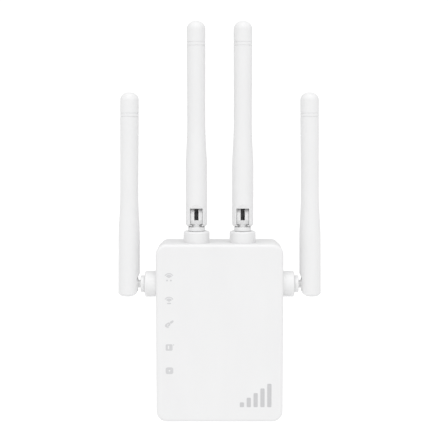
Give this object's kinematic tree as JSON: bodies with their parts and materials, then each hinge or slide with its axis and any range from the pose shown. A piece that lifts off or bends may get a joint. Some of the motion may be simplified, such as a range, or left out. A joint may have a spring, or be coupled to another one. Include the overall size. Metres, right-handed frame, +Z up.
{
  "type": "wifi range extender",
  "caption": "Plug-in wifi repeater: upright rounded white box with swivelling, folding rod antennas on its top and sides, status marks on the front and a wall plug behind.",
  "frame": {"origin": "centre of the plug's end face, between the two pins, where it meets the wall socket", "axes": "+X to the right seen from the front, +Y the way the pins point into the socket, +Z up along the upright antennas"},
  "size_m": [0.0966, 0.0675, 0.1889],
  "materials": {
    "housing_plastic": "satin moulded white plastic with a very fine texture",
    "antenna_plastic": "satin moulded white plastic",
    "collar_plastic": "satin moulded white plastic",
    "knuckle_plastic": "satin moulded white plastic",
    "plug_plastic": "satin moulded white plastic",
    "button_plastic": "satin moulded white plastic",
    "label_film": "satin printed film",
    "pin_metal": "bright nickel plating",
    "pin_insulation": "satin black plastic",
    "contact_brass": "tinned and bare brass",
    "gold_contact": "gold plated",
    "main_board_laminate": "green solder mask",
    "power_board_laminate": "brown paper laminate",
    "ferrite": "dull dark grey ferrite",
    "capacitor_can": "printed shrink sleeve over aluminium",
    "component_body": "moulded epoxy",
    "insulation_film": "translucent film",
    "header_plastic": "satin black nylon",
    "jack_plastic": "satin black nylon",
    "heat_sink_metal": "extruded and anodised",
    "shield_metal": "tin plated steel",
    "led_package": "clear lens in a white case",
    "light_guide_clear": "clear polycarbonate",
    "switch_body": "satin black nylon",
    "screw_steel": "zinc plated steel",
    "nut_plastic": "white nylon",
    "cable_jacket": "satin black cable jacket",
    "radiator_brass": "bare brass tube on a coaxial cable"
  },
  "bodies": {
    "housing": {"front_cover": "housing_plastic", "rear_cover": "housing_plastic", "rating_label": "label_film", "plug_block": "plug_plastic", "plug_pins": "pin_metal", "pin_sleeves": "pin_insulation", "pin_contacts": "contact_brass", "power_board": "power_board_laminate", "transformer": "ferrite", "power_capacitors": "capacitor_can", "power_small_parts": "component_body", "insulation_sheet": "insulation_film", "board_header": "header_plastic", "main_board": "main_board_laminate", "lan_jack": "jack_plastic", "jack_contacts": "gold_contact", "processor_chips": "component_body", "heat_sink": "heat_sink_metal", "shield_can": "shield_metal", "indicator_leds": "led_package", "light_guide": "light_guide_clear", "button_switches": "switch_body", "cover_screws": "screw_steel", "board_screws": "screw_steel", "collar_nuts": "nut_plastic", "coax_connectors": "gold_contact", "antenna_collar_top_left": "collar_plastic", "antenna_collar_top_right": "collar_plastic", "antenna_collar_side_left": "collar_plastic", "antenna_collar_side_right": "collar_plastic", "coax_lead_top_left": "cable_jacket", "coax_lead_top_right": "cable_jacket", "coax_lead_side_left": "cable_jacket", "coax_lead_side_right": "cable_jacket"},
    "swivel_top_left": {"knuckle_top_left": "knuckle_plastic", "coax_link_top_left": "cable_jacket"},
    "antenna_top_left": {"antenna_sleeve_top_left": "antenna_plastic", "antenna_cap_top_left": "antenna_plastic", "radiator_top_left": "radiator_brass"},
    "swivel_top_right": {"knuckle_top_right": "knuckle_plastic", "coax_link_top_right": "cable_jacket"},
    "antenna_top_right": {"antenna_sleeve_top_right": "antenna_plastic", "antenna_cap_top_right": "antenna_plastic", "radiator_top_right": "radiator_brass"},
    "swivel_side_left": {"knuckle_side_left": "knuckle_plastic", "coax_link_side_left": "cable_jacket"},
    "antenna_side_left": {"antenna_sleeve_side_left": "antenna_plastic", "antenna_cap_side_left": "antenna_plastic", "radiator_side_left": "radiator_brass"},
    "swivel_side_right": {"knuckle_side_right": "knuckle_plastic", "coax_link_side_right": "cable_jacket"},
    "antenna_side_right": {"antenna_sleeve_side_right": "antenna_plastic", "antenna_cap_side_right": "antenna_plastic", "radiator_side_right": "radiator_brass"},
    "wps_key": {"wps_button": "button_plastic", "wps_plunger": "button_plastic"},
    "reset_key": {"reset_plunger": "button_plastic"}
  },
  "joints": [
    {"name": "top_left_swivel", "type": "hinge", "parent": "housing", "child": "swivel_top_left", "pos_m": [-0.01095, -0.04, 0.037], "axis": [0, 0, 1], "range_deg": [-170, 170]},
    {"name": "top_left_fold", "type": "hinge", "parent": "swivel_top_left", "child": "antenna_top_left", "pos_m": [-0.01095, -0.04, 0.0502], "axis": [1, 0, 0], "range_deg": [0, 90]},
    {"name": "top_right_swivel", "type": "hinge", "parent": "housing", "child": "swivel_top_right", "pos_m": [0.01095, -0.04, 0.037], "axis": [0, 0, 1], "range_deg": [-170, 170]},
    {"name": "top_right_fold", "type": "hinge", "parent": "swivel_top_right", "child": "antenna_top_right", "pos_m": [0.01095, -0.04, 0.0502], "axis": [1, 0, 0], "range_deg": [0, 90]},
    {"name": "side_left_swivel", "type": "hinge", "parent": "housing", "child": "swivel_side_left", "pos_m": [-0.03, -0.04, 0.0172], "axis": [-1, 0, 0], "range_deg": [-170, 170]},
    {"name": "side_left_fold", "type": "hinge", "parent": "swivel_side_left", "child": "antenna_side_left", "pos_m": [-0.0432, -0.04, 0.0172], "axis": [0, 1, 0], "range_deg": [-90.6, 0]},
    {"name": "side_right_swivel", "type": "hinge", "parent": "housing", "child": "swivel_side_right", "pos_m": [0.03, -0.04, 0.0172], "axis": [1, 0, 0], "range_deg": [-170, 170]},
    {"name": "side_right_fold", "type": "hinge", "parent": "swivel_side_right", "child": "antenna_side_right", "pos_m": [0.0432, -0.04, 0.0172], "axis": [0, -1, 0], "range_deg": [-90.6, 0]},
    {"name": "wps_press", "type": "slide", "parent": "housing", "child": "wps_key", "axis": [-1, 0, 0], "range_m": [0, 0.0003], "stiffness_N_per_m": 2000},
    {"name": "reset_press", "type": "slide", "parent": "housing", "child": "reset_key", "axis": [-1, 0, 0], "range_m": [0, 0.0003], "stiffness_N_per_m": 2000}
  ]
}
